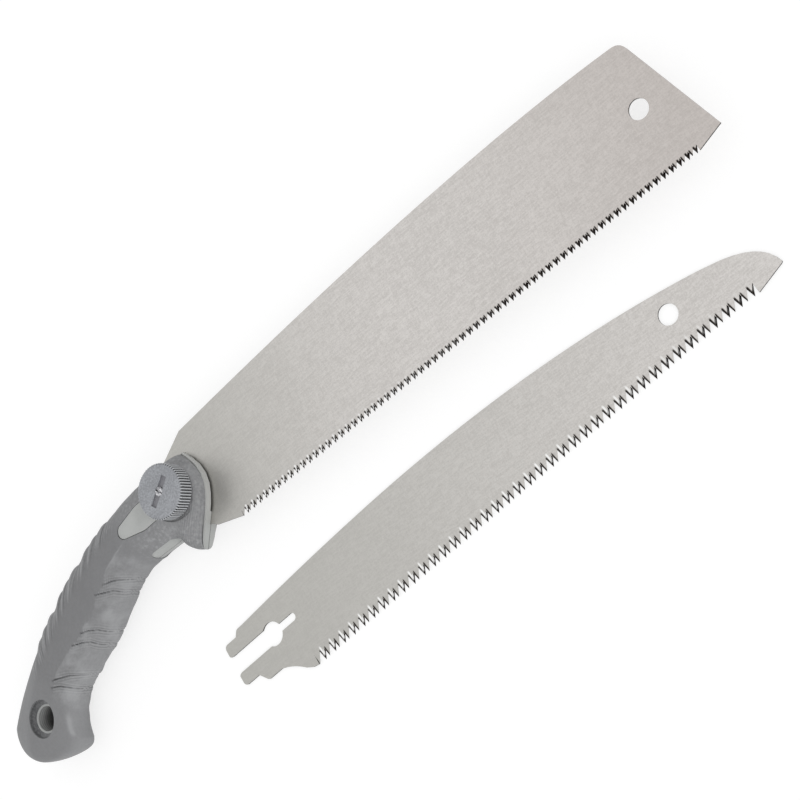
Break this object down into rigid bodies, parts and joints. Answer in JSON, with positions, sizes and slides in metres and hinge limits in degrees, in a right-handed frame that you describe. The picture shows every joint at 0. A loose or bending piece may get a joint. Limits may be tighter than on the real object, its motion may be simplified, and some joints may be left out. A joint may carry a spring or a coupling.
{
  "type": "garden hand saw",
  "caption": "Pistol-grip garden hand saw with a wide pull-cut blade held by a knurled clamp knob, and a leaf-shaped spare pruning blade with a forked tang.",
  "frame": {"origin": "on the axis of the hanging hole in the handle's butt, in the mid plane of the clamped blade", "axes": "+X along the tooth line towards the blade's tip, +Y towards the back of the blade, +Z along the hanging hole towards the knob side"},
  "size_m": [0.4993, 0.1517, 0.0377],
  "materials": {
    "core_plastic": "fine moulded satin",
    "grip_rubber": "semi-matte moulded rubber",
    "knob_plastic": "fine speckled satin",
    "blade_steel": "satin brushed, bright ground teeth",
    "fastener_steel": "bright plated"
  },
  "bodies": {
    "handle": {"core_near": "core_plastic", "core_far": "core_plastic", "grip_sleeve": "grip_rubber", "clamp_nut": "fastener_steel"},
    "blade": {"saw_blade": "blade_steel"},
    "carriage": {"thrust_washer": "fastener_steel"},
    "knob": {"clamp_bolt": "fastener_steel", "clamp_knob": "knob_plastic", "knob_screw": "fastener_steel"},
    "spare": {"spare_blade": "blade_steel"}
  },
  "joints": [
    {"name": "blade_draw", "type": "slide", "parent": "handle", "child": "blade", "axis": [1, 0, 0], "range_m": [0, 0.07]},
    {"name": "clamp_travel", "type": "slide", "parent": "handle", "child": "carriage", "axis": [0, 0, 1], "range_m": [-0.0015, 0]},
    {"name": "knob_turn", "type": "hinge", "parent": "carriage", "child": "knob", "pos_m": [0.139, 0.054, 0.0165], "axis": [0, 0, 1], "range_deg": [-432, 0]},
    {"name": "spare_lift", "type": "slide", "parent": "handle", "child": "spare", "axis": [0, 0, 1], "range_m": [0, 0.1]}
  ],
  "couplings": [
    {"joint": "knob_turn", "follows": "clamp_travel", "rad_per_m": 5026.5}
  ]
}
